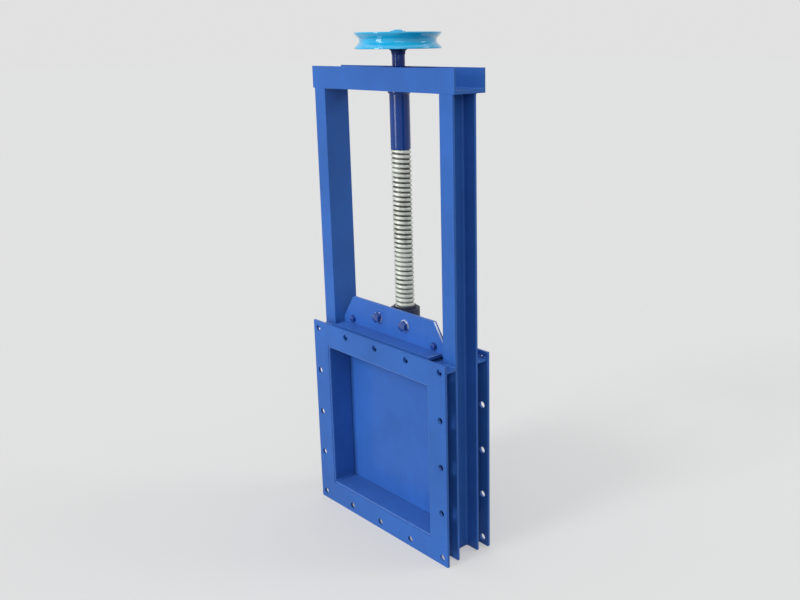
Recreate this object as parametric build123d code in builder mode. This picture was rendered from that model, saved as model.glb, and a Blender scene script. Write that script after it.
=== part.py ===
import os

from build123d import *

# Slide gate for a square duct: a blade between two flanged ducts, lifted by a
# screw that turns in the head beam and carries the handwheel above it.
# Millimetres. X runs across the duct, the front flange faces -Y, Z is up, and
# the origin lies on the floor under the axis of the screw.

# Duct and flanges
duct_width = 300.0
duct_wall = 4.0
flange_border = 46.0
flange_thick = 5.0
face_to_face = 112.0
front_face_to_screw = 80.0
weld_setback = 2.0
bolt_inset = 15.0
bolt_hole = 13.0
bolts_per_side = 5

# Blade, its seats and the top of the body
blade_thick = 6.0
blade_side_play = 5.0
blade_lap = 5.0
blade_above_flange = 48.0
seat_thick = 5.0
seat_play = 1.0
sill_thick = 6.0
sill_play = 5.0
shelf_thick = 5.0
shelf_below_flange = 12.0

# Posts and head beam
post_depth = 56.0
post_width = 33.0
post_wall = 5.0
post_round = 4.0
post_duct_gap = 10.0
post_front_setback = 29.0
post_foot = 2.0
beam_depth = 73.0
beam_height = 42.0
beam_wall = 4.0
beam_web = 6.0
beam_round = 3.0
beam_overhang = 5.0

# Screw, bearing tube and thrust collar
travel = 300.0
screw_radius = 19.0
screw_foot_gap = 6.0
screw_to_blade = 3.0
shaft_radius = 9.0
running_gap = 0.3
tube_radius = 19.0
tube_length = 109.0
tube_flare = 2.5
tube_flare_height = 8.0
tube_nut_gap = 5.0
shoulder_gap = 1.0
thrust_radius = 14.0
thrust_height = 12.0
end_round = 1.5

# Crosshead angle and screw nut
angle_up = 63.0
angle_out = 40.0
angle_thick = 7.0
angle_side_gap = 10.0
angle_leg_cutback = 11.0
angle_gap = 5.0
bevel_side = 32.0
bevel_rise = 47.0
nut_boss_radius = 29.0
nut_rim_radius = 22.0
nut_rim_thick = 5.0
nut_boss_height = 37.0
nut_ear_half = 58.0
nut_ear_thick = 10.0
nut_ear_height = 32.0
nut_above_blade = 3.0

# Handwheel
wheel_radius = 80.0
rim_height = 30.0
groove_depth = 9.0
groove_floor = 6.0
lip_thick = 3.0
rim_wall = 12.0
wheel_above_beam = 31.0
hub_radius = 17.0
hub_foot_radius = 12.0
hub_foot = 14.0
hub_top_below = 7.0
spoke_count = 4
spoke_width = 14.0
spoke_height = 12.0
wheel_nut_radius = 14.0
wheel_nut_height = 9.0
shaft_end = 2.0

os.makedirs("parts", exist_ok=True)

# Places that follow from the sizes above
front_face = -front_face_to_screw
rear_face = front_face + face_to_face
duct_half = duct_width / 2
duct_outer_half = duct_half + duct_wall
flange_side = 2 * (duct_outer_half + flange_border)
duct_z = flange_side / 2
body_top = flange_side - shelf_below_flange
blade_rear = -(screw_radius + screw_to_blade)
blade_front = blade_rear - blade_thick
blade_foot = duct_z - duct_half - blade_lap
blade_top = flange_side + blade_above_flange
front_seat_rear = blade_front - seat_play
front_seat_front = front_seat_rear - seat_thick
rear_seat_front = blade_rear + seat_play
rear_seat_rear = rear_seat_front + seat_thick
sill_top = blade_foot - sill_play
post_front = front_face + post_front_setback
post_rear = post_front + post_depth
post_inner_half = duct_outer_half + post_duct_gap
post_outer_half = post_inner_half + post_width
beam_rear = post_front + beam_depth
beam_half = post_outer_half + beam_overhang
angle_half = post_inner_half - angle_side_gap
nut_boss_top = blade_top + nut_above_blade
nut_foot = nut_boss_top - nut_boss_height
nut_top = nut_boss_top + nut_rim_thick
tube_foot = nut_top + travel + tube_nut_gap
beam_bottom = tube_foot + tube_length
beam_top = beam_bottom + beam_height
web_top = beam_bottom + beam_web
screw_foot = nut_foot - screw_foot_gap
screw_top = tube_foot - shoulder_gap
rim_foot = beam_top + wheel_above_beam
rim_top = rim_foot + rim_height
rim_mid = rim_foot + rim_height / 2
groove_radius = wheel_radius - groove_depth
rim_inner_radius = groove_radius - rim_wall
hub_top = rim_top - hub_top_below
shaft_top = hub_top + wheel_nut_height + shaft_end


def save(part, name):
    part.label = name
    export_step(part, f"parts/{name}.step")


# Flanges: square plates with the duct opening and a row of holes on each side
def make_flange(front, name):
    edge = flange_side / 2 - bolt_inset
    pitch = 2 * edge / (bolts_per_side - 1)
    steps = [-edge + pitch * i for i in range(bolts_per_side)]
    places = [(x, z) for x in steps for z in steps if max(abs(x), abs(z)) > edge - 1]
    with BuildPart() as flange:
        with BuildSketch(Plane(origin=(0, front, duct_z), x_dir=(1, 0, 0), z_dir=(0, -1, 0))):
            Rectangle(flange_side, flange_side)
            Rectangle(2 * duct_outer_half, 2 * duct_outer_half, mode=Mode.SUBTRACT)
            with Locations(*places):
                Circle(bolt_hole / 2, mode=Mode.SUBTRACT)
        extrude(amount=-flange_thick)
    save(flange.part, name)


make_flange(front_face, "front_flange")
make_flange(rear_face - flange_thick, "rear_flange")


# Upright bars and plates that lie across the duct, from their front to their rear
def make_upright(front, rear, centre, width, height, name):
    with BuildPart() as bar:
        with BuildSketch(Plane.XZ.offset(-front)):
            with Locations(centre):
                Rectangle(width, height)
        extrude(amount=front - rear)
    save(bar.part, name)


# Ducts: four plates welded into a square between flange and seat
def make_duct(front, rear, side):
    mid = duct_half + duct_wall / 2
    outer = 2 * duct_outer_half
    make_upright(front, rear, (0, duct_z + mid), outer, duct_wall, f"{side}_duct_top")
    make_upright(front, rear, (0, duct_z - mid), outer, duct_wall, f"{side}_duct_bottom")
    make_upright(front, rear, (-mid, duct_z), duct_wall, duct_width, f"{side}_duct_left")
    make_upright(front, rear, (mid, duct_z), duct_wall, duct_width, f"{side}_duct_right")


make_duct(front_face + weld_setback, front_seat_front, "front")
make_duct(rear_seat_rear, rear_face - weld_setback, "rear")


# Seats: four flat bars round the mouth of the duct, on which the blade slides
def make_seat(front, side):
    rear = front + seat_thick
    width = 2 * post_inner_half
    lip = post_inner_half - duct_half
    lip_mid = duct_half + lip / 2
    mouth_top = duct_z + duct_half
    mouth_foot = duct_z - duct_half
    top = body_top - mouth_top
    foot = mouth_foot - sill_top
    make_upright(front, rear, (0, mouth_top + top / 2), width, top, f"{side}_seat_top")
    make_upright(front, rear, (0, mouth_foot - foot / 2), width, foot, f"{side}_seat_bottom")
    make_upright(front, rear, (-lip_mid, duct_z), lip, duct_width, f"{side}_seat_left")
    make_upright(front, rear, (lip_mid, duct_z), lip, duct_width, f"{side}_seat_right")


make_seat(front_seat_front, "front")
make_seat(rear_seat_front, "rear")

# Sill: the bar that closes the blade's slot under both seats
with BuildPart() as sill:
    with BuildSketch(Plane.XY.offset(sill_top)):
        with Locations((0, (front_seat_front + rear_seat_rear) / 2)):
            Rectangle(2 * post_inner_half, rear_seat_rear - front_seat_front)
    extrude(amount=-sill_thick)
save(sill.part, "sill_bar")


# Shelves: the body's top plates, full width outside the posts and narrower between them
def make_shelf(flange_side_y, post_y, seat_y, name):
    with BuildPart() as shelf:
        with BuildSketch(Plane.XY.offset(body_top)):
            with Locations((0, (flange_side_y + post_y) / 2)):
                Rectangle(2 * post_outer_half, abs(post_y - flange_side_y))
            with Locations((0, (post_y + seat_y) / 2)):
                Rectangle(2 * post_inner_half, abs(seat_y - post_y))
        extrude(amount=-shelf_thick)
    save(shelf.part, name)


make_shelf(front_face + flange_thick, post_front, front_seat_front, "front_shelf")
make_shelf(rear_face - flange_thick, post_rear, rear_seat_rear, "rear_shelf")


# Posts: channels with the web inboard and the lips outboard
def make_post(sign, name):
    web = sign * post_inner_half
    lip = sign * post_outer_half
    inner = web + sign * post_wall
    with BuildPart() as post:
        with BuildSketch(Plane.XY.offset(post_foot)):
            with BuildLine():
                Polyline(
                    (lip, post_front),
                    (web, post_front),
                    (web, post_rear),
                    (lip, post_rear),
                    (lip, post_rear - post_wall),
                    (inner, post_rear - post_wall),
                    (inner, post_front + post_wall),
                    (lip, post_front + post_wall),
                    close=True,
                )
            make_face()
        extrude(amount=beam_bottom - post_foot)
        roots = post.edges().filter_by(Axis.Z).filter_by(lambda e: abs(e.center().X - inner) < 0.1)
        fillet(roots, post_round)
    save(post.part, name)


make_post(-1, "left_post")
make_post(1, "right_post")

# Head beam: a channel lying on its web, bored for the shaft of the screw
with BuildPart() as beam:
    with BuildSketch(Plane.YZ.offset(-beam_half)):
        with BuildLine():
            Polyline(
                (post_front, beam_bottom),
                (beam_rear, beam_bottom),
                (beam_rear, beam_top),
                (beam_rear - beam_wall, beam_top),
                (beam_rear - beam_wall, web_top),
                (post_front + beam_wall, web_top),
                (post_front + beam_wall, beam_top),
                (post_front, beam_top),
                close=True,
            )
        make_face()
    extrude(amount=2 * beam_half)
    roots = beam.edges().filter_by(Axis.X).filter_by(lambda e: abs(e.center().Z - web_top) < 0.1)
    fillet(roots, beam_round)
    with Locations((0, 0, web_top)):
        Hole(shaft_radius + running_gap, depth=beam_web)
save(beam.part, "head_beam")

# Bearing tube: hangs under the beam with a flared root and guides the shaft
with BuildPart() as tube:
    with BuildSketch(Plane.XZ):
        with BuildLine():
            Polyline(
                (shaft_radius + running_gap, tube_foot),
                (tube_radius, tube_foot),
                (tube_radius, beam_bottom - tube_flare_height),
                (tube_radius + tube_flare, beam_bottom - tube_flare_height + tube_flare),
                (tube_radius + tube_flare, beam_bottom),
                (shaft_radius + running_gap, beam_bottom),
                close=True,
            )
        make_face()
    revolve(axis=Axis.Z)
save(tube.part, "bearing_tube")

# Blade
make_upright(
    blade_front,
    blade_rear,
    (0, (blade_foot + blade_top) / 2),
    2 * (post_inner_half - blade_side_play),
    blade_top - blade_foot,
    "blade",
)

# Crosshead angle: one leg up the blade with its top corners cut, one shorter leg forward
angle_foot = body_top + angle_gap
with BuildPart() as angle:
    with BuildSketch(Plane.XZ.offset(-blade_front)):
        with BuildLine():
            Polyline(
                (-angle_half, angle_foot),
                (angle_half, angle_foot),
                (angle_half, angle_foot + angle_up - bevel_rise),
                (angle_half - bevel_side, angle_foot + angle_up),
                (-angle_half + bevel_side, angle_foot + angle_up),
                (-angle_half, angle_foot + angle_up - bevel_rise),
                close=True,
            )
        make_face()
    extrude(amount=angle_thick)
    with BuildSketch(Plane.XY.offset(angle_foot)):
        with Locations((0, blade_front - angle_out / 2)):
            Rectangle(2 * (angle_half - angle_leg_cutback), angle_out)
    extrude(amount=angle_thick)
save(angle.part, "crosshead_angle")

# Screw nut: a boss with two ears against the back of the blade and a rim above it
with BuildPart() as nut:
    with BuildSketch(Plane.XY.offset(nut_foot)):
        Circle(nut_boss_radius)
        with Locations((0, blade_rear - nut_boss_radius)):
            Rectangle(2 * nut_boss_radius, 2 * nut_boss_radius, mode=Mode.SUBTRACT)
    extrude(amount=nut_boss_height)
    with BuildSketch(Plane.XY.offset(nut_foot)):
        with Locations((0, blade_rear + nut_ear_thick / 2)):
            Rectangle(2 * nut_ear_half, nut_ear_thick)
    extrude(amount=nut_ear_height)
    with BuildSketch(Plane.XY.offset(nut_boss_top)):
        Circle(nut_rim_radius)
    extrude(amount=nut_rim_thick)
    with Locations((0, 0, nut_top)):
        Hole(screw_radius + running_gap, depth=nut_top - nut_foot)
save(nut.part, "screw_nut")

# Screw: the threaded length and the shaft that carries the wheel, in one piece
with BuildPart() as screw:
    with BuildSketch(Plane.XZ):
        with BuildLine():
            Polyline(
                (0, screw_foot),
                (screw_radius - end_round, screw_foot),
                (screw_radius, screw_foot + end_round),
                (screw_radius, screw_top - end_round),
                (screw_radius - end_round, screw_top),
                (shaft_radius, screw_top),
                (shaft_radius, shaft_top - end_round),
                (shaft_radius - end_round, shaft_top),
                (0, shaft_top),
                close=True,
            )
        make_face()
    revolve(axis=Axis.Z)
save(screw.part, "screw")

# Thrust collar: sits on the web of the beam and carries the weight of the screw
with BuildPart() as collar:
    with BuildSketch(Plane.XY.offset(web_top + running_gap)):
        Circle(thrust_radius)
        Circle(shaft_radius, mode=Mode.SUBTRACT)
    extrude(amount=thrust_height)
save(collar.part, "thrust_collar")

# Wheel rim: a ring with a V groove round it between two flared lips
with BuildPart() as rim:
    with BuildSketch(Plane.XZ):
        with BuildLine():
            Polyline(
                (rim_inner_radius, rim_mid - spoke_height / 2),
                (wheel_radius, rim_foot),
                (wheel_radius, rim_foot + lip_thick),
                (groove_radius, rim_mid - groove_floor / 2),
                (groove_radius, rim_mid + groove_floor / 2),
                (wheel_radius, rim_top - lip_thick),
                (wheel_radius, rim_top),
                (rim_inner_radius, rim_mid + spoke_height / 2),
                close=True,
            )
        make_face()
    revolve(axis=Axis.Z)
save(rim.part, "wheel_rim")

# Wheel hub: tapered foot below the rim, straight above, bored for the shaft
with BuildPart() as hub:
    with BuildSketch(Plane.XZ):
        with BuildLine():
            Polyline(
                (shaft_radius, rim_foot - hub_foot),
                (hub_foot_radius, rim_foot - hub_foot),
                (hub_radius, rim_foot),
                (hub_radius, hub_top),
                (shaft_radius, hub_top),
                close=True,
            )
        make_face()
    revolve(axis=Axis.Z)
save(hub.part, "wheel_hub")

# Spokes: flat bars from the hub to the rim, hollowed at both ends to seat on them
with BuildPart() as spokes:
    with BuildSketch(Plane.XY.offset(rim_mid - spoke_height / 2)):
        with PolarLocations(rim_inner_radius / 2, spoke_count):
            Rectangle(rim_inner_radius, spoke_width)
        Circle(hub_radius, mode=Mode.SUBTRACT)
        with BuildSketch(mode=Mode.INTERSECT):
            Circle(rim_inner_radius)
    extrude(amount=spoke_height)
save(spokes.part, "wheel_spokes")

# Wheel nut: holds the hub on the shaft
with BuildPart() as wheel_nut:
    with BuildSketch(Plane.XY.offset(hub_top)):
        RegularPolygon(wheel_nut_radius, 6)
        Circle(shaft_radius, mode=Mode.SUBTRACT)
    extrude(amount=wheel_nut_height)
save(wheel_nut.part, "wheel_nut")
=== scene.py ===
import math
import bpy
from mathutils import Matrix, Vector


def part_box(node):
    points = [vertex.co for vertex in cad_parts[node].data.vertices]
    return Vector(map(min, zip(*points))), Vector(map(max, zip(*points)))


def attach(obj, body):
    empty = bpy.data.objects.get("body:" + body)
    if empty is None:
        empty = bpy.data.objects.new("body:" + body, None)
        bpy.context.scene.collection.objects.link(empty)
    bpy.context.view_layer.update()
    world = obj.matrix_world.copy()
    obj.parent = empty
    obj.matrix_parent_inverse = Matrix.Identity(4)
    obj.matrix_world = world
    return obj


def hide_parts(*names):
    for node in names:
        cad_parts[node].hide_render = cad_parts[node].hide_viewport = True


bl_info = {
    "name": "Slide Gate Dressing",
    "version": (1, 0, 0),
    "blender": (4, 5, 0),
    "location": "View3D > Sidebar > Slide Gate",
    "description": "Dresses a packed duct slide gate with paint, thread, welds and fasteners",
    "category": "Object",
}

import bmesh
import bpy
from bpy.props import FloatProperty, FloatVectorProperty, IntProperty, PointerProperty
from mathutils import Matrix, Vector

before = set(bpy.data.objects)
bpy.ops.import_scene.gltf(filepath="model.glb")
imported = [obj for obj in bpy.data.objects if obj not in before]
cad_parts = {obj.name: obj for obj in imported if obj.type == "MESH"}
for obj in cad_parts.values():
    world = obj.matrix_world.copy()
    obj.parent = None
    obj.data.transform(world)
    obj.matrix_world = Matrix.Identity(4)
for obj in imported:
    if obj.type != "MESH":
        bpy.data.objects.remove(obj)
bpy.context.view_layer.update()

MM = 0.001
SAME_PLACE = 0.001 * MM

# Screw, shaft and tube
SHAFT_RADIUS = 9.0 * MM
RUNNING_GAP = 0.3 * MM
SHOULDER_GAP = 1.0 * MM
SLEEVE_RADIUS = 12.0 * MM
TUBE_RADIUS = 19.0 * MM
THREAD_CHAMFER = 0.25 * MM
# Shares of one lead at which the thread's section turns: root, flank, crest, flank, root
THREAD_SHARES = (0.0, 0.20, 0.36, 0.42, 0.78, 0.84, 1.0)

# Crosshead angle and its bolts
LEG_THICK = 7.0 * MM
BEVEL_SIDE = 32.0 * MM
BEVEL_RISE = 47.0 * MM
ROOT_ROUND = 9.0 * MM
# Depth of the front strip of the crosshead's bevelled ends that carries the painted highlight
GLINT_DEPTH = 3.4 * MM
EAR_THICK = 10.0 * MM
MAIN_BOLT_X, MAIN_BOLT_Z = 40.0 * MM, 430.0 * MM
SMALL_BOLT_X, SMALL_BOLT_Z = 123.0 * MM, 409.0 * MM


def low(node):
    """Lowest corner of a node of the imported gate."""
    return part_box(node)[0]


def high(node):
    """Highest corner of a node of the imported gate."""
    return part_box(node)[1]


class GatePaint(bpy.types.PropertyGroup):
    frame_blue: FloatVectorProperty(
        name="Frame blue",
        description="Enamel on the flanges, ducts, posts and beam",
        subtype="COLOR",
        default=(0.030, 0.118, 0.415),
    )
    blade_blue: FloatVectorProperty(
        name="Blade blue",
        description="Enamel on the blade and its crosshead",
        subtype="COLOR",
        default=(0.031, 0.118, 0.430),
    )
    wheel_blue: FloatVectorProperty(
        name="Wheel blue",
        description="Glossy enamel on the handwheel",
        subtype="COLOR",
        default=(0.004, 0.400, 0.700),
    )
    edge_round: FloatProperty(
        name="Edge round",
        description="Radius that the paint and the deburring leave on plate edges",
        subtype="DISTANCE",
        unit="LENGTH",
        default=0.7 * MM,
    )


class GateThread(bpy.types.PropertyGroup):
    lead: FloatProperty(
        name="Lead",
        description="Rise of the thread in one turn",
        subtype="DISTANCE",
        unit="LENGTH",
        default=9.0 * MM,
    )
    depth: FloatProperty(
        name="Depth",
        description="Depth of the thread's groove",
        subtype="DISTANCE",
        unit="LENGTH",
        default=2.6 * MM,
    )
    steps: IntProperty(
        name="Steps",
        description="Facets in one turn of the thread",
        default=30,
        min=12,
        max=96,
    )


class GateFasteners(bpy.types.PropertyGroup):
    main_flats: FloatProperty(
        name="Main across flats",
        description="Size across flats of the bolts that hold the nut",
        subtype="DISTANCE",
        unit="LENGTH",
        default=18.0 * MM,
    )
    small_flats: FloatProperty(
        name="Small across flats",
        description="Size across flats of the bolts at the crosshead's ends",
        subtype="DISTANCE",
        unit="LENGTH",
        default=11.0 * MM,
    )
    bead: FloatProperty(
        name="Weld bead",
        description="Radius of the weld beads",
        subtype="DISTANCE",
        unit="LENGTH",
        default=2.2 * MM,
    )


class GateStage(bpy.types.PropertyGroup):
    backdrop: FloatProperty(
        name="Backdrop level",
        description="Linear grey of the floor and the backdrop as the camera sees them",
        default=0.753,
        min=0.0,
        max=1.0,
    )
    floor_glow: FloatProperty(
        name="Floor glow",
        description="Light that the floor adds where it is seen, to match the backdrop",
        default=0.372,
        min=0.0,
    )
    key_level: FloatProperty(
        name="Key level",
        description="Strength of the soft lamp at the front left",
        default=1.20,
        min=0.0,
    )
    window_power: FloatProperty(
        name="Window power",
        description="Power of the tall low lamp whose streaks show in gloss paint",
        unit="POWER",
        default=31.0,
        min=0.0,
    )
    top_level: FloatProperty(
        name="Top level",
        description="Strength of the very broad lamp overhead",
        default=1.0,
        min=0.0,
    )
    side_level: FloatProperty(
        name="Side level",
        description="Strength of the weak soft lamp at the front right",
        default=0.45,
        min=0.0,
    )
    rear_level: FloatProperty(
        name="Rear level",
        description="Strength of the weak soft lamp behind",
        default=0.60,
        min=0.0,
    )
    fill_level: FloatProperty(
        name="Fill level",
        description="Strength of the even light from all round",
        default=0.40,
        min=0.0,
    )


class Nodes:
    """A material's node tree, built in the order in which its nodes feed each other."""

    def __init__(self, name):
        self.material = bpy.data.materials.new(name)
        self.material.use_nodes = True
        self.tree = self.material.node_tree
        self.shader = self.tree.nodes["Principled BSDF"]
        self.place = self.add("ShaderNodeTexCoord").outputs["Object"]

    def add(self, kind, **values):
        node = self.tree.nodes.new(kind)
        for key, value in values.items():
            setattr(node, key, value)
        return node

    def join(self, output, socket):
        self.tree.links.new(output, socket)

    def noise(self, scale, detail=2.0, rough=0.5, stretch=None):
        place = self.place
        if stretch:
            mapping = self.add("ShaderNodeMapping")
            mapping.inputs["Scale"].default_value = stretch
            self.join(place, mapping.inputs["Vector"])
            place = mapping.outputs["Vector"]
        node = self.add("ShaderNodeTexNoise")
        node.inputs["Scale"].default_value = scale
        node.inputs["Detail"].default_value = detail
        node.inputs["Roughness"].default_value = rough
        self.join(place, node.inputs["Vector"])
        return node.outputs["Fac"]

    def spread(self, value, low_in, high_in, low_out, high_out):
        node = self.add("ShaderNodeMapRange")
        node.inputs["From Min"].default_value = low_in
        node.inputs["From Max"].default_value = high_in
        node.inputs["To Min"].default_value = low_out
        node.inputs["To Max"].default_value = high_out
        self.join(value, node.inputs["Value"])
        return node.outputs["Result"]

    def blend(self, factor, first, second):
        node = self.add("ShaderNodeMix", data_type="RGBA")
        self.join(factor, node.inputs["Factor"])
        for colour, socket in ((first, node.inputs["A"]), (second, node.inputs["B"])):
            if isinstance(colour, bpy.types.NodeSocket):
                self.join(colour, socket)
            else:
                socket.default_value = (*colour, 1.0)
        return node.outputs["Result"]

    def bump(self, height, strength, distance, normal=None):
        node = self.add("ShaderNodeBump")
        node.inputs["Strength"].default_value = strength
        node.inputs["Distance"].default_value = distance
        self.join(height, node.inputs["Height"])
        if normal:
            self.join(normal, node.inputs["Normal"])
        return node.outputs["Normal"]

    def total(self, first, second):
        node = self.add("ShaderNodeMath", operation="ADD", use_clamp=True)
        self.join(first, node.inputs[0])
        self.join(second, node.inputs[1])
        return node.outputs["Value"]

    def upright(self, vector):
        """The vertical share of a place or a direction."""
        split = self.add("ShaderNodeSeparateXYZ")
        self.join(vector, split.inputs["Vector"])
        return split.outputs["Z"]

    def upward(self):
        """How far a surface faces up, as the geometry's own normal gives it."""
        return self.upright(self.add("ShaderNodeNewGeometry").outputs["Normal"])

    def radius(self):
        """Distance from the screw's axis."""
        flat = self.add("ShaderNodeVectorMath", operation="MULTIPLY")
        flat.inputs[1].default_value = (1.0, 1.0, 0.0)
        self.join(self.place, flat.inputs[0])
        length = self.add("ShaderNodeVectorMath", operation="LENGTH")
        self.join(flat.outputs["Vector"], length.inputs[0])
        return length.outputs["Value"]


def shade(colour, factor):
    return tuple(min(1.0, c * factor) for c in colour)


def enamel(name, colour, rough, coat, peel=0.10, shine=0.15):
    """Sprayed enamel: faint clouding, runs, orange peel and a little dust on top."""
    m = Nodes(name)
    cloud = m.spread(m.noise(7.0, 4.0, 0.6), 0.30, 0.70, 0.0, 1.0)
    base = m.blend(cloud, shade(colour, 0.86), shade(colour, 1.10))
    streak = m.spread(m.noise(9.0, 4.0, 0.6, (4.0, 4.0, 0.5)), 0.55, 0.80, 0.0, 0.30)
    base = m.blend(streak, base, shade(colour, 1.35))
    speck = m.spread(m.noise(160.0, 2.0), 0.70, 0.78, 0.0, 0.35)
    base = m.blend(speck, base, shade(colour, 0.55))
    dust = m.spread(m.upward(), 0.55, 1.0, 0.0, 0.03)
    base = m.blend(dust, base, (0.33, 0.36, 0.45))
    m.join(base, m.shader.inputs["Base Color"])
    sheen = m.spread(m.noise(24.0, 3.0), 0.3, 0.7, rough - 0.05, rough + 0.06)
    m.join(sheen, m.shader.inputs["Roughness"])
    m.shader.inputs["Specular IOR Level"].default_value = shine
    m.shader.inputs["Coat Weight"].default_value = coat
    m.shader.inputs["Coat Roughness"].default_value = 0.10
    m.shader.inputs["Coat IOR"].default_value = 1.35
    skin = m.bump(m.noise(420.0, 2.0), peel, 0.4 * MM)
    m.join(m.bump(m.noise(35.0, 2.0), 0.06, 1.2 * MM, skin), m.shader.inputs["Normal"])
    return m.material


def thread_steel(name, dark_root, crest):
    """Bright cut steel with fine tool rings and old grease caught here and there in the thread; the thread
    is also painted darker towards its roots as painted shade in the grooves.
    """
    m = Nodes(name)
    grain = m.spread(m.noise(60.0, 4.0, 0.6), 0.3, 0.7, 0.0, 1.0)
    bright = m.blend(grain, (0.50, 0.53, 0.47), (0.70, 0.73, 0.67))
    # Painted shade: the colour falls to near black from crest to root, standing for the shade in the
    # thread's grooves; the grease patches and the wiped lower end shift where it starts
    depth = m.spread(m.radius(), dark_root, crest, 0.0, 1.0)
    cloud = m.spread(m.noise(22.0, 4.0, 0.7), 0.35, 0.65, 0.0, 1.0)
    fades_at = high("screw_nut").z + 200.0 * MM
    wiped = m.spread(m.upright(m.place), low("screw").z, fades_at, 0.45, 0.0)
    clean = m.total(cloud, wiped)
    lit_and_bare = m.total(depth, m.spread(clean, 0.0, 1.0, -0.25, 0.30))
    m.join(m.blend(lit_and_bare, (0.045, 0.050, 0.040), bright), m.shader.inputs["Base Color"])
    m.shader.inputs["Metallic"].default_value = 0.30
    m.join(m.spread(clean, 0.0, 1.0, 0.32, 0.50), m.shader.inputs["Roughness"])
    rings = m.noise(120.0, 2.0, 0.5, (0.3, 0.3, 14.0))
    m.join(m.bump(rings, 0.18, 0.15 * MM), m.shader.inputs["Normal"])
    return m.material


def ground_edge(name):
    """A painted highlight: a bright bluish-white strip standing for the glint on the crosshead's cut edge,
    with streaky marks across it.
    """
    m = Nodes(name)
    marks = m.noise(90.0, 3.0, 0.6, (1.0, 12.0, 1.0))
    m.join(
        m.blend(m.spread(marks, 0.3, 0.7, 0.0, 1.0), (0.50, 0.57, 0.74), (0.80, 0.85, 0.95)),
        m.shader.inputs["Base Color"],
    )
    m.shader.inputs["Metallic"].default_value = 0.15
    m.join(m.spread(marks, 0.3, 0.7, 0.25, 0.45), m.shader.inputs["Roughness"])
    m.join(m.bump(marks, 0.25, 0.2 * MM), m.shader.inputs["Normal"])
    return m.material


def zinc_plate(name, overspray):
    """Bright zinc plating with its cloudy grain, and blue paint sprayed over parts of it."""
    m = Nodes(name)
    grain = m.noise(240.0, 4.0, 0.65)
    zinc = m.blend(m.spread(grain, 0.3, 0.7, 0.0, 1.0), (0.42, 0.48, 0.60), (0.70, 0.75, 0.84))
    cover = m.spread(m.noise(75.0, 3.0), 0.46, 0.58, 0.0, 1.0)
    m.join(m.blend(cover, zinc, overspray), m.shader.inputs["Base Color"])
    m.shader.inputs["Metallic"].default_value = 0.55
    m.join(m.spread(grain, 0.3, 0.7, 0.22, 0.40), m.shader.inputs["Roughness"])
    m.join(m.bump(grain, 0.15, 0.2 * MM), m.shader.inputs["Normal"])
    return m.material


def cast_iron(name, colour, shine=0.5):
    """Sand-cast iron under a thin dark coat, its grain left rough. On the wheel hub the dark navy colour is
    painted shade.
    """
    m = Nodes(name)
    grain = m.noise(300.0, 4.0, 0.65)
    patches = m.noise(28.0, 3.0)
    m.join(
        m.blend(m.spread(patches, 0.3, 0.7, 0.0, 1.0), shade(colour, 0.7), shade(colour, 1.35)),
        m.shader.inputs["Base Color"],
    )
    m.shader.inputs["Metallic"].default_value = 0.25 * shine
    m.shader.inputs["Specular IOR Level"].default_value = shine
    m.join(m.spread(grain, 0.3, 0.7, 0.45, 0.65), m.shader.inputs["Roughness"])
    m.join(m.bump(grain, 0.35, 0.4 * MM), m.shader.inputs["Normal"])
    return m.material


def weld_paint(name, colour):
    """Enamel over a weld bead: thicker, rougher and a little darker in its ripples."""
    m = Nodes(name)
    ripple = m.noise(210.0, 2.0)
    m.join(
        m.blend(m.spread(ripple, 0.3, 0.7, 0.0, 1.0), shade(colour, 0.80), shade(colour, 1.20)),
        m.shader.inputs["Base Color"],
    )
    m.shader.inputs["Roughness"].default_value = 0.34
    m.shader.inputs["Coat Weight"].default_value = 0.3
    m.join(m.bump(ripple, 0.45, 0.5 * MM), m.shader.inputs["Normal"])
    return m.material


def finish(bm, name, material, body, replaces=(), crease=32.0):
    """Turns a bmesh into a piece: outward faces, smooth within the crease angle, riding on a body."""
    bmesh.ops.recalc_face_normals(bm, faces=bm.faces)
    for face in bm.faces:
        face.smooth = True
    for edge in bm.edges:
        if len(edge.link_faces) == 2:
            edge.smooth = edge.calc_face_angle() < math.radians(crease)
    mesh = bpy.data.meshes.new(name)
    bm.to_mesh(mesh)
    bm.free()
    mesh.materials.append(material)
    piece = bpy.data.objects.new(name, mesh)
    bpy.context.scene.collection.objects.link(piece)
    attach(piece, body)
    if replaces:
        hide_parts(*replaces)
    return piece


def whole(bm):
    return bm.verts[:] + bm.edges[:] + bm.faces[:]


def verts_of(geom):
    return [part for part in geom if isinstance(part, bmesh.types.BMVert)]


def edges_of(geom):
    return [part for part in geom if isinstance(part, bmesh.types.BMEdge)]


def plain_copy(node):
    """A merged copy of a packed plate, with its flat faces whole again."""
    bm = bmesh.new()
    bm.from_mesh(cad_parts[node].data)
    bmesh.ops.remove_doubles(bm, verts=bm.verts, dist=0.002 * MM)
    bmesh.ops.dissolve_limit(
        bm, angle_limit=math.radians(0.5), use_dissolve_boundaries=False,
        verts=bm.verts, edges=bm.edges,
    )
    return bm


def softened(node, name, material, body, width, shape=None):
    """A copy of a packed plate with its edges rounded as paint and deburring leave them."""
    bm = plain_copy(node)
    if shape:
        shape(bm)
    corner = math.radians(28)
    sharp = [e for e in bm.edges if len(e.link_faces) == 2 and e.calc_face_angle() > corner]
    bmesh.ops.bevel(
        bm, geom=sharp, offset=width, offset_type="OFFSET", affect="EDGES",
        segments=2, profile=0.5, material=-1, clamp_overlap=True,
    )
    bmesh.ops.triangulate(bm, faces=[f for f in bm.faces if len(f.verts) > 4])
    piece = finish(bm, name, material, body, (node,), 40.0)
    flat = piece.modifiers.new("flat_faces", "WEIGHTED_NORMAL")
    flat.weight = 100
    flat.keep_sharp = True
    return piece


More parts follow.
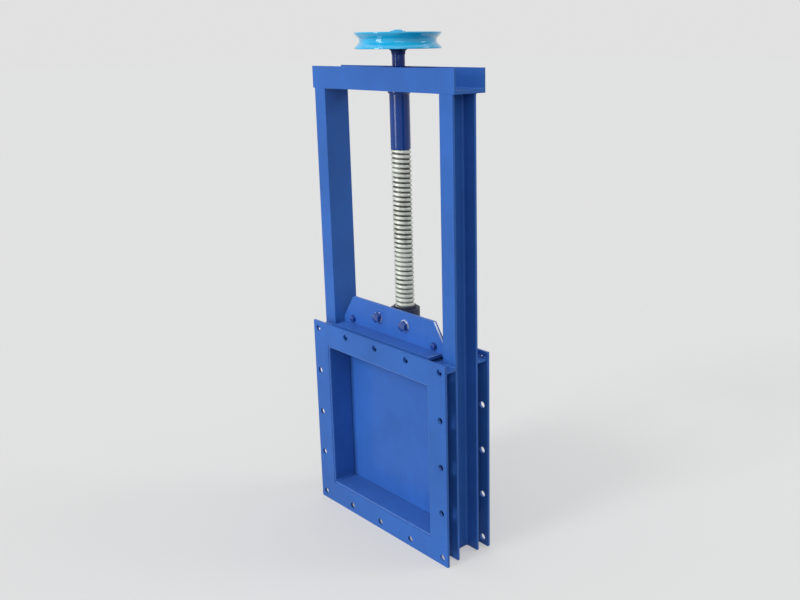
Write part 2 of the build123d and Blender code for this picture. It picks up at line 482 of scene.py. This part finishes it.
def cut_blade_corners(bm):
    """Cuts the blade's top corners along the crosshead's bevels, and hidden behind them."""
    side = high("crosshead_angle").x - 14.0 * MM
    start = high("crosshead_angle").z - BEVEL_RISE
    for sign in (-1, 1):
        cut = bmesh.ops.bisect_plane(
            bm, geom=whole(bm), dist=SAME_PLACE, plane_co=(sign * side, 0, start),
            plane_no=(sign * BEVEL_RISE, 0, BEVEL_SIDE), clear_outer=True,
        )["geom_cut"]
        bmesh.ops.edgeloop_fill(bm, edges=edges_of(cut))


def fill_crosshead_root(bm):
    """Rounds the root between the crosshead's legs, and marks off the front strip of its ends that carries
    the painted highlight.
    """
    root_y = low("blade").y - LEG_THICK
    root_z = low("crosshead_angle").z + LEG_THICK
    near = 0.1 * MM
    edges = [
        e for e in bm.edges
        if all(abs(v.co.y - root_y) < near and abs(v.co.z - root_z) < near for v in e.verts)
    ]
    bmesh.ops.bevel(
        bm, geom=edges, offset=ROOT_ROUND, offset_type="OFFSET", affect="EDGES",
        segments=5, profile=0.5, material=-1, clamp_overlap=True,
    )
    bmesh.ops.bisect_plane(
        bm, geom=whole(bm), dist=SAME_PLACE,
        plane_co=(0, root_y + GLINT_DEPTH, 0), plane_no=(0, 1, 0),
    )


def lathe(profile, steps=72, closed=True):
    """Spins a profile of (radius, height) pairs about the screw's axis."""
    bm = bmesh.new()
    verts = [bm.verts.new((r, 0.0, z)) for r, z in profile]
    pairs = list(zip(verts, verts[1:]))
    if closed:
        pairs.append((verts[-1], verts[0]))
    edges = [bm.edges.new(pair) for pair in pairs]
    bmesh.ops.spin(
        bm, geom=verts + edges, cent=(0, 0, 0), axis=(0, 0, 1),
        angle=math.tau, steps=steps, use_merge=True, use_duplicate=False,
    )
    bmesh.ops.remove_doubles(bm, verts=bm.verts, dist=SAME_PLACE)
    return bm


def cut_thread(foot, head, crest, thread):
    """The threaded rod between two heights: swept down turn by turn, then cut flat at both ends."""
    root = crest - thread.depth
    flank = crest - THREAD_CHAMFER
    radii = (root, root, flank, crest, crest, flank, root)
    start = head + 2 * thread.lead
    bm = bmesh.new()
    verts = [
        bm.verts.new((radius, 0.0, start + share * thread.lead))
        for radius, share in zip(radii, THREAD_SHARES)
    ]
    edges = [bm.edges.new(pair) for pair in zip(verts, verts[1:])]
    drop = (0, 0, -thread.lead / thread.steps)
    for _ in range(math.ceil((head - foot) / thread.lead) + 3):
        last = bmesh.ops.spin(
            bm, geom=verts + edges, cent=(0, 0, 0), axis=(0, 0, 1), angle=math.tau,
            steps=thread.steps, dvec=drop, use_merge=False, use_duplicate=False,
        )["geom_last"]
        verts, edges = verts_of(last), edges_of(last)
    bmesh.ops.remove_doubles(bm, verts=bm.verts, dist=0.02 * MM)
    for height, outward in ((head, 1), (foot, -1)):
        cut = bmesh.ops.bisect_plane(
            bm, geom=whole(bm), dist=SAME_PLACE,
            plane_co=(0, 0, height), plane_no=(0, 0, outward), clear_outer=True,
        )["geom_cut"]
        bmesh.ops.triangle_fill(bm, edges=edges_of(cut), use_beauty=True)
    return bm


def rounded(points, radius, turns=3):
    """The profile with each corner cut into a short arc."""
    out = []
    for i, here in enumerate(points):
        here = Vector(here)
        before = Vector(points[i - 1]) - here
        after = Vector(points[(i + 1) % len(points)]) - here
        reach = min(radius, before.length * 0.45, after.length * 0.45)
        start = here + before.normalized() * reach
        end = here + after.normalized() * reach
        for k in range(turns + 1):
            t = k / turns
            out.append(tuple(start * (1 - t) ** 2 + here * 2 * t * (1 - t) + end * t ** 2))
    return out


def along(axis):
    """Turns a shape that stands upright so that it stands along an axis."""
    return Vector(axis).to_track_quat("Z", "Y").to_matrix().to_4x4()


# Weld beads: the length of a puddle, the sizes that follow each other, and the size at both ends
PUDDLE = 3.0 * MM
PUDDLE_SIZES = (1.12, 0.90, 1.06, 0.94)
BEAD_END = 0.7


def bead_along(bm, start, end, radius):
    """A weld bead between two points, its puddles one after another."""
    start, end = Vector(start), Vector(end)
    run = end - start
    count = max(4, round(run.length / PUDDLE))
    ring = bmesh.ops.create_circle(
        bm, cap_ends=True, segments=7, radius=radius * BEAD_END,
        matrix=Matrix.Translation(start) @ along(run),
    )
    loop = list({e for v in ring["verts"] for e in v.link_edges})
    for i in range(1, count + 1):
        grown = bmesh.ops.extrude_edge_only(bm, edges=loop)["geom"]
        verts, loop = verts_of(grown), edges_of(grown)
        centre = start + run * (i / count)
        bmesh.ops.translate(bm, verts=verts, vec=run / count)
        size = PUDDLE_SIZES[i % 4] / PUDDLE_SIZES[i % 4 - 1]
        if i == 1:
            size = 1 / BEAD_END
        if i == count:
            size = BEAD_END / PUDDLE_SIZES[-1]
        bmesh.ops.scale(bm, verts=verts, vec=(size, size, size), space=Matrix.Translation(-centre))
        twist = Matrix.Rotation(0.05 * (i % 3 - 1), 3, run)
        bmesh.ops.rotate(bm, verts=verts, cent=centre, matrix=twist)
    bmesh.ops.edgeloop_fill(bm, edges=loop)


def hex_prism(bm, centre, axis, flats, height, dome=0.16):
    """A hexagon head or nut standing on centre along axis, its outer corners chamfered."""
    centre, axis = Vector(centre), Vector(axis)
    corner = flats / math.sqrt(3)
    made = bmesh.ops.create_cone(
        bm, cap_ends=True, cap_tris=False, segments=6, radius1=corner, radius2=corner,
        depth=height, matrix=Matrix.Translation(centre + axis * height / 2) @ along(axis),
    )
    top = [
        e for e in {e for v in made["verts"] for e in v.link_edges}
        if all((v.co - centre).dot(axis) > height * 0.9 for v in e.verts)
    ]
    bmesh.ops.bevel(
        bm, geom=top, offset=flats * dome * 0.5, offset_type="OFFSET", affect="EDGES",
        segments=2, profile=0.5, material=-1, clamp_overlap=True,
    )


def disc(bm, centre, axis, radius, height, segments=24):
    """A washer or stud end standing on centre along axis."""
    centre, axis = Vector(centre), Vector(axis)
    bmesh.ops.create_cone(
        bm, cap_ends=True, cap_tris=False, segments=segments, radius1=radius,
        radius2=radius * 0.97, depth=height,
        matrix=Matrix.Translation(centre + axis * height / 2) @ along(axis),
    )


FRAME_PLATES = (
    "front_flange", "rear_flange", "left_post", "right_post", "head_beam", "front_shelf", "rear_shelf",
)
SIDES = ("top", "bottom", "left", "right")
DUCT_PLATES = tuple(
    f"{end}_{kind}_{side}" for end in ("front", "rear") for kind in ("duct", "seat") for side in SIDES
)


class GATE_OT_frame_plates(bpy.types.Operator):
    """Round the edges of the flanges, posts, beam and shelves and paint the whole frame"""

    bl_idname = "gate.frame_plates"
    bl_label = "Frame plates"

    def execute(self, context):
        paint = context.scene.gate_paint
        blue = enamel("frame_enamel", paint.frame_blue, rough=0.40, coat=0.10)
        for node in FRAME_PLATES:
            softened(node, f"{node}_painted", blue, "frame", paint.edge_round)
        thin_edge = paint.edge_round * 0.6
        for node in (*DUCT_PLATES, "sill_bar"):
            softened(node, f"{node}_painted", blue, "frame", thin_edge)
        return {"FINISHED"}


class GATE_OT_blade(bpy.types.Operator):
    """Paint the blade and its crosshead, with their edges rounded"""

    bl_idname = "gate.blade"
    bl_label = "Blade and crosshead"

    def execute(self, context):
        paint = context.scene.gate_paint
        blue = enamel("blade_enamel", paint.blade_blue, rough=0.38, coat=0.12, peel=0.06)
        softened(
            "blade", "blade_painted", blue, "gate",
            paint.edge_round, cut_blade_corners,
        )
        angle = softened(
            "crosshead_angle", "crosshead_painted", blue, "gate",
            paint.edge_round, fill_crosshead_root,
        )
        # Painted highlight: the front strip of both bevelled ends gets a bright bluish-white material
        # standing for the glint the edge catches
        angle.data.materials.append(ground_edge("ground_edge"))
        glint_to = low("blade").y - LEG_THICK + GLINT_DEPTH
        for face in angle.data.polygons:
            on_bevel = abs(face.normal.x) > 0.45 and face.normal.z > 0.20
            if on_bevel and face.center.y < glint_to:
                face.material_index = 1
        return {"FINISHED"}


class GATE_OT_screw(bpy.types.Operator):
    """Cut the left-hand thread of the screw and turn its shaft, sleeve and thrust collar"""

    bl_idname = "gate.screw"
    bl_label = "Screw and shaft"

    def execute(self, context):
        paint, thread = context.scene.gate_paint, context.scene.gate_thread
        crest = high("screw").x
        head = low("bearing_tube").z - SHOULDER_GAP
        bright = thread_steel("thread_steel", crest - thread.depth + 0.2 * MM, crest - 0.7 * MM)
        bm = cut_thread(low("screw").z, head, crest, thread)
        finish(bm, "screw_thread", bright, "spindle", ("screw",), 24.0)

        navy = enamel("shaft_enamel", (0.003, 0.036, 0.230), rough=0.13, coat=0.45, peel=0.02, shine=0.10)
        top = high("screw").z
        buried = head - 2.0 * MM
        profile = [
            (0, buried), (SHAFT_RADIUS, buried), (SHAFT_RADIUS, top - 2.0 * MM),
            (SHAFT_RADIUS - 1.6 * MM, top), (0, top),
        ]
        bm = lathe(profile, 48, closed=False)
        shaft = finish(bm, "screw_shaft", navy, "spindle", ("screw",))
        end = enamel("shaft_end_enamel", paint.wheel_blue, rough=0.13, coat=0.8, peel=0.03, shine=0.4)
        shaft.data.materials.append(end)
        for face in shaft.data.polygons:
            if face.center.z > high("wheel_nut").z:
                face.material_index = 1

        lo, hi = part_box("thrust_collar")
        collar = [(SHAFT_RADIUS, lo.z), (hi.x, lo.z), (hi.x, hi.z), (SHAFT_RADIUS, hi.z)]
        steel = cast_iron("collar_steel", (0.16, 0.16, 0.15))
        bm = lathe(rounded(collar, 0.9 * MM), 48)
        finish(bm, "thrust_collar_turned", steel, "spindle", ("thrust_collar",))

        sleeve_top = low("wheel_hub").z + 6.0 * MM
        sleeve = [
            (SHAFT_RADIUS, hi.z), (SLEEVE_RADIUS, hi.z),
            (SLEEVE_RADIUS, sleeve_top), (SHAFT_RADIUS, sleeve_top),
        ]
        bm = lathe(rounded(sleeve, 0.8 * MM), 56)
        finish(bm, "shaft_sleeve", navy, "spindle")
        return {"FINISHED"}


class GATE_OT_tube(bpy.types.Operator):
    """Turn the bearing tube under the beam, with its flared head, and paint it"""

    bl_idname = "gate.tube"
    bl_label = "Bearing tube"

    def execute(self, context):
        lo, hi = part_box("bearing_tube")
        bore = SHAFT_RADIUS + RUNNING_GAP
        profile = [
            (bore, lo.z), (TUBE_RADIUS, lo.z), (TUBE_RADIUS, hi.z - 8.0 * MM),
            (hi.x, hi.z - 5.5 * MM), (hi.x, hi.z), (bore, hi.z),
        ]
        gloss = enamel("tube_enamel", (0.004, 0.042, 0.230), rough=0.16, coat=0.60, peel=0.02)
        bm = lathe(rounded(profile, 0.9 * MM), 64)
        finish(bm, "bearing_tube_painted", gloss, "frame", ("bearing_tube",))
        return {"FINISHED"}


class GATE_OT_wheel(bpy.types.Operator):
    """Turn the grooved rim of the handwheel with its lips rounded, and finish hub and spokes"""

    bl_idname = "gate.wheel"
    bl_label = "Handwheel"

    def execute(self, context):
        paint = context.scene.gate_paint
        gloss = enamel("wheel_enamel", paint.wheel_blue, rough=0.13, coat=0.8, peel=0.03, shine=0.4)
        lo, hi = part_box("wheel_rim")
        middle = (lo.z + hi.z) / 2
        inner = 59.0 * MM
        inner_half = 6.0 * MM
        groove = 71.0 * MM
        groove_half = 3.0 * MM
        lip = 3.0 * MM
        shoulder = hi.x - 12.0 * MM
        shoulder_drop = 3.5 * MM
        profile = [
            (inner, middle - inner_half), (shoulder, lo.z + shoulder_drop), (hi.x, lo.z), (hi.x, lo.z + lip),
            (groove, middle - groove_half), (groove, middle + groove_half), (hi.x, hi.z - lip), (hi.x, hi.z),
            (shoulder, hi.z - shoulder_drop), (inner, middle + inner_half),
        ]
        bm = lathe(rounded(profile, 1.5 * MM), 96)
        finish(bm, "wheel_rim_turned", gloss, "spindle", ("wheel_rim",))
        softened("wheel_spokes", "wheel_spokes_cast", gloss, "spindle", 2.2 * MM)

        hub_low, hub_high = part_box("wheel_hub")
        foot = hub_low.z + 4.0 * MM
        profile = [
            (SHAFT_RADIUS, foot), (12.8 * MM, foot), (12.9 * MM, lo.z - 5.0 * MM),
            (14.2 * MM, lo.z - 2.6 * MM), (hub_high.x, lo.z - 1.0 * MM),
            (hub_high.x, hub_high.z), (SHAFT_RADIUS, hub_high.z),
        ]
        # Painted shade: the hub is coloured near-black navy for the shade its foot sits in under the rim
        dark = cast_iron("hub_iron", (0.008, 0.022, 0.100), shine=0.2)
        bm = lathe(rounded(profile, 1.4 * MM), 64)
        finish(bm, "wheel_hub_cast", dark, "spindle", ("wheel_hub",))
        softened("wheel_nut", "wheel_nut_faced", gloss, "spindle", 0.9 * MM)
        return {"FINISHED"}


class GATE_OT_screw_nut(bpy.types.Operator):
    """Give the screw nut its cast skin and rounded edges"""

    bl_idname = "gate.screw_nut"
    bl_label = "Screw nut"

    def execute(self, context):
        iron = cast_iron("nut_iron_skin", (0.016, 0.022, 0.055))
        softened("screw_nut", "screw_nut_cast", iron, "gate", 1.2 * MM)
        return {"FINISHED"}


class GATE_OT_bolts(bpy.types.Operator):
    """Set the crosshead's bolts, with washers in front and nuts behind"""

    bl_idname = "gate.bolts"
    bl_label = "Crosshead bolts"

    def execute(self, context):
        paint, fasteners = context.scene.gate_paint, context.scene.gate_fasteners
        forward, backward = (0, -1, 0), (0, 1, 0)
        leg_front = low("blade").y - LEG_THICK
        blade_back = high("blade").y
        ear_back = blade_back + EAR_THICK
        heads = bmesh.new()
        washers = bmesh.new()

        flats = fasteners.main_flats
        washer, head, nut, stud = 2.0 * MM, 8.0 * MM, 9.0 * MM, 4.0 * MM
        z = MAIN_BOLT_Z
        for x in (-MAIN_BOLT_X, MAIN_BOLT_X):
            disc(washers, (x, leg_front, z), forward, flats * 0.68, washer)
            hex_prism(heads, (x, leg_front - washer, z), forward, flats, head)
            disc(washers, (x, ear_back, z), backward, flats * 0.68, washer)
            hex_prism(heads, (x, ear_back + washer, z), backward, flats, nut)
            disc(washers, (x, ear_back + washer + nut, z), backward, flats * 0.30, stud)

        flats = fasteners.small_flats
        washer, head, nut, stud = 1.4 * MM, 4.6 * MM, 5.5 * MM, 3.0 * MM
        z = SMALL_BOLT_Z
        for x in (-SMALL_BOLT_X, SMALL_BOLT_X):
            disc(heads, (x, leg_front, z), forward, flats * 0.72, washer)
            hex_prism(heads, (x, leg_front - washer, z), forward, flats, head)
            hex_prism(heads, (x, blade_back, z), backward, flats, nut)
            disc(washers, (x, blade_back + nut, z), backward, flats * 0.30, stud)

        gloss = enamel("bolt_enamel", (0.010, 0.050, 0.240), rough=0.14, coat=0.9, peel=0.02, shine=0.4)
        zinc = zinc_plate("washer_zinc", paint.blade_blue)
        finish(heads, "crosshead_bolts", gloss, "gate")
        finish(washers, "crosshead_washers", zinc, "gate")
        return {"FINISHED"}


class GATE_OT_welds(bpy.types.Operator):
    """Lay the weld beads of ducts, shelves, posts, beam and tube"""

    bl_idname = "gate.welds"
    bl_label = "Weld beads"

    def execute(self, context):
        paint, bead = context.scene.gate_paint, context.scene.gate_fasteners.bead
        skin = weld_paint("weld_enamel", paint.frame_blue)
        bm = bmesh.new()
        self.duct_beads(bm, bead)
        self.post_beads(bm, bead)
        finish(bm, "weld_beads", skin, "frame")

        beam_under = low("head_beam").z
        reach = bead * 0.8
        ring = [
            (high("bearing_tube").x + reach * math.cos(a), beam_under + reach * math.sin(a) - 0.3 * MM)
            for a in (math.tau * k / 8 for k in range(8))
        ]
        finish(lathe(ring, 60), "tube_weld", skin, "frame")
        return {"FINISHED"}

    def duct_beads(self, bm, bead):
        """Beads round both mouths of the duct, and along its four inner corners."""
        wall = low("front_duct_right").x
        floor = high("front_duct_bottom").z
        roof = low("front_duct_top").z
        front = low("front_flange").y
        rear = high("rear_flange").y
        outside = 2.4 * MM
        inset = 2.3 * MM
        mouth = wall + outside
        for y in (front + inset, rear - inset):
            for x in (-mouth, mouth):
                bead_along(bm, (x, y, floor - outside), (x, y, roof + outside), bead * 0.8)
            for z in (floor - outside, roof + outside):
                bead_along(bm, (-mouth, y, z), (mouth, y, z), bead * 0.8)
        plate = 4.0 * MM
        front_seat = low("front_seat_left").y
        rear_seat = high("rear_seat_left").y
        for x in (-wall, wall):
            for z in (floor, roof):
                bead_along(bm, (x, front + plate, z), (x, front_seat, z), bead * 1.2)
                bead_along(bm, (x, rear_seat, z), (x, rear - plate, z), bead * 1.2)

    def post_beads(self, bm, bead):
        """Beads along the shelves and at both ends of the posts."""
        shelf = high("front_shelf").z
        beam_under = low("head_beam").z
        inboard, front, _ = low("right_post")
        outboard, rear, _ = high("right_post")
        for y in (high("front_flange").y, low("rear_flange").y):
            bead_along(bm, (-outboard, y, shelf), (outboard, y, shelf), bead)
        for side in (-1, 1):
            near, far = side * inboard, side * outboard
            for y in (front, rear):
                bead_along(bm, (near, y, shelf), (far, y, shelf), bead)
            bead_along(bm, (near, front + bead, beam_under), (near, rear, beam_under), bead)
            bead_along(bm, (near, rear, beam_under), (far, rear, beam_under), bead)


# Azimuth, elevation and spread in degrees; azimuth 0 stands before the front flange and grows to the right
LAMPS = {
    "key": (-8.0, 34.0, 16.0),
    "top": (0.0, 88.0, 100.0),
    "side": (52.0, 20.0, 30.0),
    "rear": (139.0, 31.0, 20.0),
}
LAMP_DISTANCE = 3.0
WINDOW_PLACE = Vector((-0.36, -2.6, 0.62))
WINDOW_SIZE = (0.7, 1.9)

# The camera's view: its place and angles, and where the picture's middle falls
PICTURE_WIDTH, PICTURE_HEIGHT = 800.0, 600.0
FOCAL_PIXELS = 620.07
ZOOM = 1.45
AIM_X, AIM_Y = 359.0, 318.0
SENSOR_WIDTH = 36.0
CAMERA_PLACE = (1.3012, -1.0868, 0.9560)
CAMERA_HEADING, CAMERA_FALL, CAMERA_ROLL = 46.5, 14.53, -0.63


def lamp(name, azimuth, elevation, spread, level):
    """A soft lamp so far away that it lights the floor evenly."""
    data = bpy.data.lights.new(name, "SUN")
    data.angle = math.radians(spread)
    data.energy = level
    turn, rise = math.radians(azimuth), math.radians(elevation)
    back = Vector((math.sin(turn) * math.cos(rise), -math.cos(turn) * math.cos(rise), math.sin(rise)))
    light = bpy.data.objects.new(name, data)
    light.location = back * LAMP_DISTANCE
    light.rotation_euler = back.to_track_quat("Z", "Y").to_euler()
    bpy.context.scene.collection.objects.link(light)


def window(power, floor):
    """A tall low lamp in front on the left, which leaves the floor alone."""
    data = bpy.data.lights.new("window", "AREA")
    data.shape = "RECTANGLE"
    data.size, data.size_y = WINDOW_SIZE
    data.energy = power
    light = bpy.data.objects.new("window", data)
    light.location = WINDOW_PLACE
    level_aim = Vector((WINDOW_PLACE.x, WINDOW_PLACE.y, 0.0))
    light.rotation_euler = level_aim.to_track_quat("Z", "Y").to_euler()
    light.visible_camera = False
    bpy.context.scene.collection.objects.link(light)
    dark = bpy.data.collections.new("not_lit_by_window")
    dark.objects.link(floor)
    light.light_linking.receiver_collection = dark
    dark.collection_objects[0].light_linking.link_state = "EXCLUDE"


def seen_rays(tree):
    """One where the camera sees a surface straight, in a reflection or through glass."""
    path = tree.nodes.new("ShaderNodeLightPath")
    total = path.outputs["Is Camera Ray"]
    for kind in ("Is Glossy Ray", "Is Transmission Ray"):
        larger = tree.nodes.new("ShaderNodeMath")
        larger.operation = "MAXIMUM"
        tree.links.new(total, larger.inputs[0])
        tree.links.new(path.outputs[kind], larger.inputs[1])
        total = larger.outputs["Value"]
    return total


def studio_world(backdrop_level, fill_level):
    """Even light from all round, with a plain grey backdrop where it is seen."""
    world = bpy.data.worlds.new("studio")
    world.use_nodes = True
    tree = world.node_tree
    tree.nodes.clear()
    light = tree.nodes.new("ShaderNodeBackground")
    light.inputs["Color"].default_value = (0.96, 0.98, 1.0, 1.0)
    light.inputs["Strength"].default_value = fill_level
    backdrop = tree.nodes.new("ShaderNodeBackground")
    backdrop.inputs["Color"].default_value = (backdrop_level, backdrop_level, backdrop_level, 1.0)
    mix = tree.nodes.new("ShaderNodeMixShader")
    out = tree.nodes.new("ShaderNodeOutputWorld")
    tree.links.new(seen_rays(tree), mix.inputs["Fac"])
    tree.links.new(light.outputs["Background"], mix.inputs[1])
    tree.links.new(backdrop.outputs["Background"], mix.inputs[2])
    tree.links.new(mix.outputs["Shader"], out.inputs["Surface"])
    return world


def pale_floor(glow_level):
    """A matt floor that takes the shadow, lifted to the backdrop's grey where it is seen."""
    bm = bmesh.new()
    bmesh.ops.create_grid(bm, x_segments=1, y_segments=1, size=40.0)
    mesh = bpy.data.meshes.new("floor")
    bm.to_mesh(mesh)
    bm.free()
    floor = bpy.data.objects.new("floor", mesh)
    bpy.context.scene.collection.objects.link(floor)
    pale = bpy.data.materials.new("pale_floor")
    pale.use_nodes = True
    tree = pale.node_tree
    tree.nodes.clear()
    matt = tree.nodes.new("ShaderNodeBsdfDiffuse")
    matt.inputs["Color"].default_value = (0.36, 0.36, 0.36, 1.0)
    glow = tree.nodes.new("ShaderNodeEmission")
    glow.inputs["Color"].default_value = (1.0, 1.0, 1.0, 1.0)
    seen = tree.nodes.new("ShaderNodeMath")
    seen.operation = "MULTIPLY"
    seen.inputs[1].default_value = glow_level
    both = tree.nodes.new("ShaderNodeAddShader")
    out = tree.nodes.new("ShaderNodeOutputMaterial")
    tree.links.new(seen_rays(tree), seen.inputs[0])
    tree.links.new(seen.outputs["Value"], glow.inputs["Strength"])
    tree.links.new(matt.outputs["BSDF"], both.inputs[0])
    tree.links.new(glow.outputs["Emission"], both.inputs[1])
    tree.links.new(both.outputs["Shader"], out.inputs["Surface"])
    mesh.materials.append(pale)
    return floor


def view_camera():
    """The camera at the front right, a little above the beam."""
    heading, fall, roll = (math.radians(a) for a in (CAMERA_HEADING, CAMERA_FALL, CAMERA_ROLL))
    back = Vector((math.sin(heading) * math.cos(fall), -math.cos(heading) * math.cos(fall), math.sin(fall)))
    across = Vector((math.cos(heading), math.sin(heading), 0.0))
    rise = back.cross(across)
    right = across * math.cos(roll) + rise * math.sin(roll)
    up = back.cross(right)
    data = bpy.data.cameras.new("view")
    data.sensor_width = SENSOR_WIDTH
    data.lens = FOCAL_PIXELS / PICTURE_WIDTH * SENSOR_WIDTH * ZOOM
    data.shift_x = (AIM_X - PICTURE_WIDTH / 2) * ZOOM / PICTURE_WIDTH
    data.shift_y = (PICTURE_HEIGHT / 2 - AIM_Y) * ZOOM / PICTURE_WIDTH
    data.clip_start = 0.01
    camera = bpy.data.objects.new("view", data)
    turn = Matrix((right, up, back)).transposed().to_4x4()
    camera.matrix_world = Matrix.Translation(CAMERA_PLACE) @ turn
    return camera


class GATE_OT_stage(bpy.types.Operator):
    """Set the pale floor, the soft light and the camera"""

    bl_idname = "gate.stage"
    bl_label = "Stage"

    def execute(self, context):
        scene = context.scene
        stage = scene.gate_stage
        scene.view_settings.view_transform = "Standard"
        scene.world = studio_world(stage.backdrop, stage.fill_level)
        floor = pale_floor(stage.floor_glow)
        for name, (azimuth, elevation, spread) in LAMPS.items():
            lamp(name, azimuth, elevation, spread, getattr(stage, f"{name}_level"))
        window(stage.window_power, floor)
        camera = view_camera()
        scene.collection.objects.link(camera)
        scene.camera = camera
        return {"FINISHED"}


STEPS = (
    GATE_OT_stage, GATE_OT_frame_plates, GATE_OT_blade, GATE_OT_screw, GATE_OT_tube,
    GATE_OT_wheel, GATE_OT_screw_nut, GATE_OT_bolts, GATE_OT_welds,
)


class GATE_PT_panel(bpy.types.Panel):
    """Lists the steps that dress the slide gate"""

    bl_idname = "GATE_PT_panel"
    bl_label = "Slide Gate"
    bl_space_type = "VIEW_3D"
    bl_region_type = "UI"
    bl_category = "Slide Gate"

    def draw(self, context):
        layout = self.layout
        for group in (context.scene.gate_paint, context.scene.gate_thread,
                      context.scene.gate_fasteners, context.scene.gate_stage):
            box = layout.box()
            for name in group.__annotations__:
                box.prop(group, name)
        for step in STEPS:
            layout.operator(step.bl_idname)


GROUPS = {
    "gate_paint": GatePaint,
    "gate_thread": GateThread,
    "gate_fasteners": GateFasteners,
    "gate_stage": GateStage,
}


def register():
    for name, group in GROUPS.items():
        bpy.utils.register_class(group)
        setattr(bpy.types.Scene, name, PointerProperty(type=group))
    for step in STEPS:
        bpy.utils.register_class(step)
    bpy.utils.register_class(GATE_PT_panel)


def unregister():
    bpy.utils.unregister_class(GATE_PT_panel)
    for step in reversed(STEPS):
        bpy.utils.unregister_class(step)
    for name, group in GROUPS.items():
        delattr(bpy.types.Scene, name)
        bpy.utils.unregister_class(group)


def main():
    register()
    bpy.ops.gate.stage()
    bpy.ops.gate.frame_plates()
    bpy.ops.gate.blade()
    bpy.ops.gate.screw()
    bpy.ops.gate.tube()
    bpy.ops.gate.wheel()
    bpy.ops.gate.screw_nut()
    bpy.ops.gate.bolts()
    bpy.ops.gate.welds()


if __name__ == "__main__":
    main()
